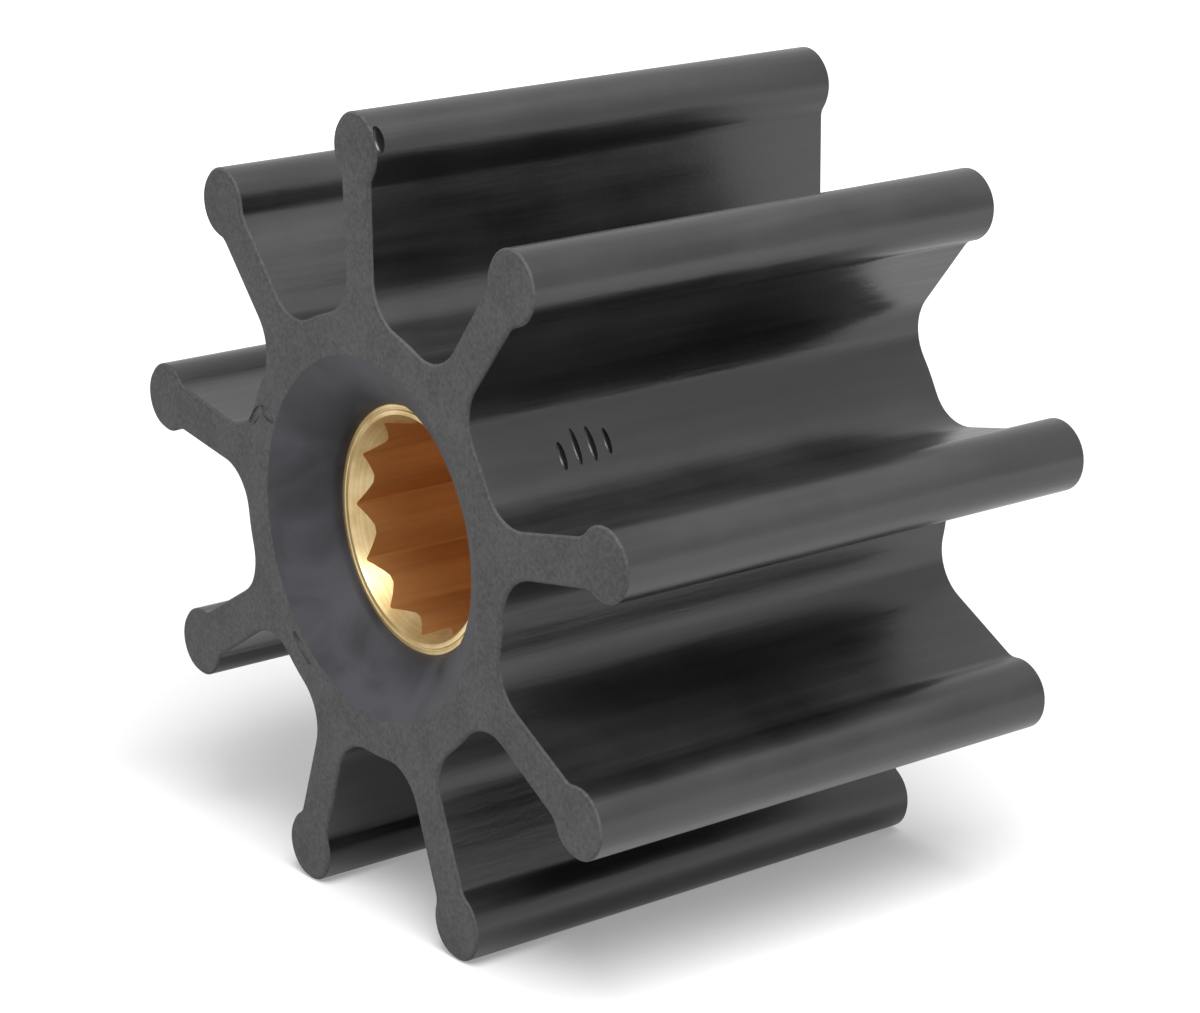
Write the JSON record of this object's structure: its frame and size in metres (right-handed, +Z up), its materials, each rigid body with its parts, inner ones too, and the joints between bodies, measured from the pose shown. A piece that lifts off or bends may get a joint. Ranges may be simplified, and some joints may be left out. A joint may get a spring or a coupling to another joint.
{
  "type": "rubber pump impeller",
  "caption": "Flexible-vane rubber impeller for a marine water pump: straight vanes with round sealing beads on a hub moulded around a splined brass insert.",
  "frame": {"origin": "on the shaft axis, halfway between the two end faces", "axes": "+Y along the shaft axis from the near end to the far end, +Z up along the topmost vane, +X to the right when looking along +Y"},
  "size_m": [0.094, 0.0636, 0.0926],
  "materials": {
    "rubber": "satin moulded flanks, fine matt end faces",
    "brass": "turned ring and broached spline"
  },
  "bodies": {
    "root": {"impeller_body": "rubber", "splined_insert": "brass"}
  },
  "joints": []
}
